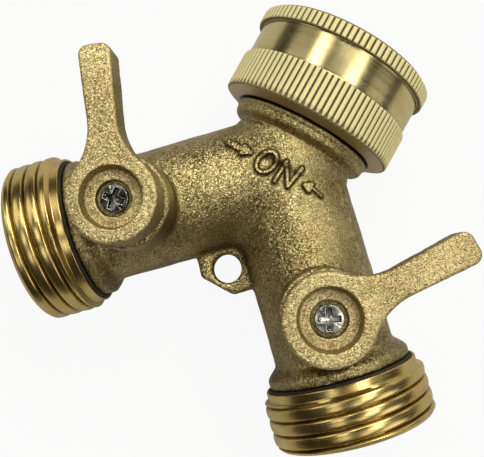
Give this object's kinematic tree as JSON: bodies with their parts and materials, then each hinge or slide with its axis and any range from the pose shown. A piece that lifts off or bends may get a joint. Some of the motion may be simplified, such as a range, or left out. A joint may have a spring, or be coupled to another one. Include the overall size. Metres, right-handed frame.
{
  "type": "hose splitter",
  "caption": "Cast brass Y hose splitter with a swivel inlet nut, threaded outlets, lever ball valves and a hanging lug.",
  "frame": {"origin": "middle of the inlet nut's mouth, on the axis of the inlet thread", "axes": "+Y out of the inlet, +Z towards the side with the levers, X across, symmetric about X = 0 apart from the levers' angles; levers as in the picture, a little short of fully shut"},
  "size_m": [0.0804, 0.063, 0.0385],
  "materials": {
    "cast_brass": "tumbled sand-cast surface, fine grain, olive gold",
    "turned_brass": "turned and knurled, bright",
    "threaded_brass": "machined, polished thread",
    "lever_brass": "cast, coarse tumbled grain, lighter gold",
    "valve_brass": "turned",
    "plated_ball": "polished plating",
    "nickel_screw": "nickel-plated steel",
    "spring_steel": "spring steel",
    "black_rubber": "matt rubber",
    "white_seat": "white low-friction plastic"
  },
  "bodies": {
    "body": {"splitter_body": "cast_brass", "nut_retaining_ring": "spring_steel", "left_outlet_nipple": "threaded_brass", "left_joint_ring": "black_rubber", "left_inner_seat": "white_seat", "left_outer_seat": "white_seat", "right_outlet_nipple": "threaded_brass", "right_joint_ring": "black_rubber", "right_inner_seat": "white_seat", "right_outer_seat": "white_seat"},
    "nut": {"swivel_nut": "turned_brass", "hose_washer": "black_rubber"},
    "left_valve": {"left_lever": "lever_brass", "left_lever_screw": "nickel_screw", "left_stem": "valve_brass", "left_ball": "plated_ball", "left_stem_rings": "black_rubber", "left_thrust_washer": "white_seat"},
    "right_valve": {"right_lever": "lever_brass", "right_lever_screw": "nickel_screw", "right_stem": "valve_brass", "right_ball": "plated_ball", "right_stem_rings": "black_rubber", "right_thrust_washer": "white_seat"}
  },
  "joints": [
    {"name": "nut_spin", "type": "hinge", "parent": "body", "child": "nut", "pos_m": [0, -0.008, 0], "axis": [0, 1, 0], "continuous": true},
    {"name": "left_lever_turn", "type": "hinge", "parent": "body", "child": "left_valve", "pos_m": [-0.01711, -0.03991, 0], "axis": [0, 0, -1], "range_deg": [-8.5, 81.5]},
    {"name": "right_lever_turn", "type": "hinge", "parent": "body", "child": "right_valve", "pos_m": [0.01711, -0.03991, 0], "axis": [0, 0, 1], "range_deg": [-11.8, 78.2]}
  ]
}
